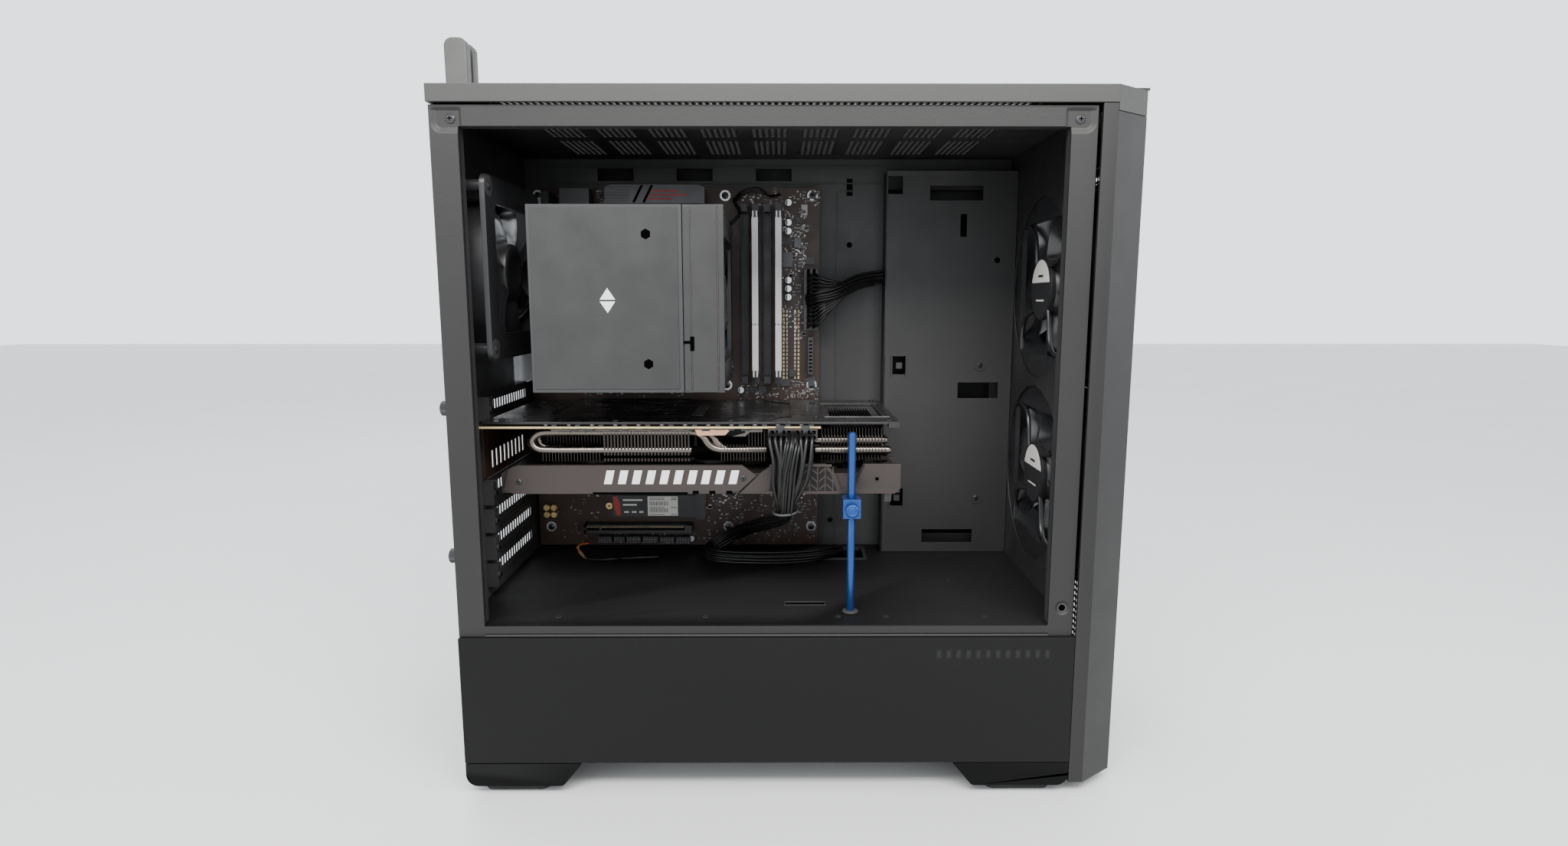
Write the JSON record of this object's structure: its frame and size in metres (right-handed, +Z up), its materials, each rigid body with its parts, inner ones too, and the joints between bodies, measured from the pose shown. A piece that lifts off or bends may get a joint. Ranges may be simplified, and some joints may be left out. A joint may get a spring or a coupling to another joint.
{
  "type": "desktop computer tower",
  "caption": "Mid-tower desktop computer with an open near side showing its board, tower cooler, graphics card, fans and cable shroud, with two rear antennas.",
  "frame": {"origin": "middle of the footprint, on the desk", "axes": "+X towards the front panel, -Y out of the open side, +Z up"},
  "size_m": [0.4928, 0.2114, 0.536],
  "materials": {
    "steel": "satin powder coat",
    "cover_plastic": "fine textured satin",
    "strip_gloss": "gloss",
    "foot_rubber": "matte",
    "fan_plastic": "satin",
    "screw_black": "satin black",
    "board": "solder mask",
    "port_metal": "satin",
    "heatsink_dark": "anodised",
    "module_grey": "anodised satin",
    "cooler_fins": "bare fins",
    "cooler_plastic": "satin",
    "card_board": "solder mask",
    "backplate": "satin black",
    "card_fins": "bare fins",
    "card_bronze": "satin metallic",
    "brace_blue": "anodised",
    "antenna_grey": "satin",
    "lead_black": "sleeved",
    "switch_black": "satin"
  },
  "bodies": {
    "tower": {"rear_panel": "steel", "top_panel": "steel", "front_frame": "steel", "motherboard_tray": "steel", "bottom_pan": "steel", "shroud_top": "steel", "shroud_side_cover": "steel", "cable_cover_plate": "steel", "top_cover": "cover_plastic", "top_dust_filter": "cover_plastic", "front_panel": "cover_plastic", "front_mesh": "steel", "io_panel": "strip_gloss", "slot_cover": "steel", "slot_cover_screw_1": "screw_black", "slot_cover_screw_2": "screw_black", "foot_rear_near": "foot_rubber", "foot_rear_far": "foot_rubber", "foot_front_near": "foot_rubber", "foot_front_far": "foot_rubber", "psu": "steel", "motherboard": "board", "rear_io_block": "port_metal", "vrm_heatsink": "heatsink_dark", "ram_module_a": "module_grey", "ram_module_b": "module_grey", "m2_ssd": "board", "cooler_heatsink": "cooler_fins", "cooler_top_cover": "cooler_plastic", "cooler_fan_frame": "fan_plastic", "rear_fan_frame": "fan_plastic", "front_fan_lower_frame": "fan_plastic", "front_fan_upper_frame": "fan_plastic", "gpu_board": "card_board", "gpu_backplate": "backplate", "gpu_heatsink": "card_fins", "gpu_shroud": "card_bronze", "brace_pole": "brace_blue", "board_lead": "lead_black", "card_lead": "lead_black"},
    "power_button": {"power_button": "cover_plastic"},
    "reset_button": {"reset_button": "cover_plastic"},
    "side_panel": {"side_panel": "steel", "side_panel_screw_1": "screw_black", "side_panel_screw_2": "screw_black"},
    "psu_fan_rotor": {"psu_fan_rotor": "fan_plastic"},
    "psu_switch": {"psu_switch": "switch_black"},
    "cooler_fan_rotor": {"cooler_fan_rotor": "fan_plastic"},
    "rear_fan_rotor": {"rear_fan_rotor": "fan_plastic"},
    "front_fan_lower_rotor": {"front_fan_lower_rotor": "fan_plastic"},
    "front_fan_upper_rotor": {"front_fan_upper_rotor": "fan_plastic"},
    "gpu_fan_1": {"gpu_fan_1": "fan_plastic"},
    "gpu_fan_2": {"gpu_fan_2": "fan_plastic"},
    "gpu_fan_3": {"gpu_fan_3": "fan_plastic"},
    "brace_clamp": {"brace_clamp": "brace_blue"},
    "brace_knob": {"brace_knob": "brace_blue"},
    "antenna_base_1": {"antenna_base_1": "antenna_grey"},
    "antenna_base_2": {"antenna_base_2": "antenna_grey"},
    "antenna_blade_1": {"antenna_blade_1": "antenna_grey"},
    "antenna_blade_2": {"antenna_blade_2": "antenna_grey"}
  },
  "joints": [
    {"name": "power_press", "type": "slide", "parent": "tower", "child": "power_button", "axis": [0, 0, -1], "range_m": [0, 0.0012], "stiffness_N_per_m": 900, "springref_m": -0.0006},
    {"name": "reset_press", "type": "slide", "parent": "tower", "child": "reset_button", "axis": [0, 0, -1], "range_m": [0, 0.0012], "stiffness_N_per_m": 600, "springref_m": -0.0006},
    {"name": "side_panel_slide", "type": "slide", "parent": "tower", "child": "side_panel", "axis": [-1, 0, 0], "range_m": [0, 0.018]},
    {"name": "psu_fan_spin", "type": "hinge", "parent": "tower", "child": "psu_fan_rotor", "pos_m": [-0.1286, -0.00465, 0.0387], "axis": [0, 0, 1], "continuous": true},
    {"name": "psu_switch_rock", "type": "hinge", "parent": "tower", "child": "psu_switch", "pos_m": [-0.1951, -0.00165, 0.0417], "axis": [0, 1, 0], "range_deg": [-6, 6]},
    {"name": "cooler_fan_spin", "type": "hinge", "parent": "tower", "child": "cooler_fan_rotor", "pos_m": [-0.0366, -0.02515, 0.3344], "axis": [1, 0, 0], "continuous": true},
    {"name": "rear_fan_spin", "type": "hinge", "parent": "tower", "child": "rear_fan_rotor", "pos_m": [-0.1866, -0.02665, 0.3547], "axis": [1, 0, 0], "continuous": true},
    {"name": "front_fan_lower_spin", "type": "hinge", "parent": "tower", "child": "front_fan_lower_rotor", "pos_m": [0.2216, -0.00165, 0.203], "axis": [1, 0, 0], "continuous": true},
    {"name": "front_fan_upper_spin", "type": "hinge", "parent": "tower", "child": "front_fan_upper_rotor", "pos_m": [0.2216, -0.00165, 0.343], "axis": [1, 0, 0], "continuous": true},
    {"name": "gpu_fan_1_spin", "type": "hinge", "parent": "tower", "child": "gpu_fan_1", "pos_m": [-0.1279, -0.00115, 0.207], "axis": [0, 0, 1], "continuous": true},
    {"name": "gpu_fan_2_spin", "type": "hinge", "parent": "tower", "child": "gpu_fan_2", "pos_m": [-0.0369, -0.00115, 0.207], "axis": [0, 0, 1], "continuous": true},
    {"name": "gpu_fan_3_spin", "type": "hinge", "parent": "tower", "child": "gpu_fan_3", "pos_m": [0.0541, -0.00115, 0.207], "axis": [0, 0, 1], "continuous": true},
    {"name": "brace_clamp_slide", "type": "slide", "parent": "tower", "child": "brace_clamp", "axis": [0, 0, -1], "range_m": [0, 0.06]},
    {"name": "brace_knob_turn", "type": "hinge", "parent": "brace_clamp", "child": "brace_knob", "pos_m": [0.0631, -0.08365, 0.1937], "axis": [0, 1, 0], "range_deg": [-180, 0]},
    {"name": "antenna_1_swivel", "type": "hinge", "parent": "tower", "child": "antenna_base_1", "pos_m": [-0.2199, 0.05235, 0.335], "axis": [1, 0, 0], "range_deg": [0, 90]},
    {"name": "antenna_1_fold", "type": "hinge", "parent": "antenna_base_1", "child": "antenna_blade_1", "pos_m": [-0.2374, 0.05235, 0.335], "axis": [0, -1, 0], "range_deg": [0, 90]},
    {"name": "antenna_2_swivel", "type": "hinge", "parent": "tower", "child": "antenna_base_2", "pos_m": [-0.2199, 0.06835, 0.335], "axis": [1, 0, 0], "range_deg": [-90, 0]},
    {"name": "antenna_2_fold", "type": "hinge", "parent": "antenna_base_2", "child": "antenna_blade_2", "pos_m": [-0.2374, 0.06835, 0.335], "axis": [0, -1, 0], "range_deg": [0, 90]}
  ]
}
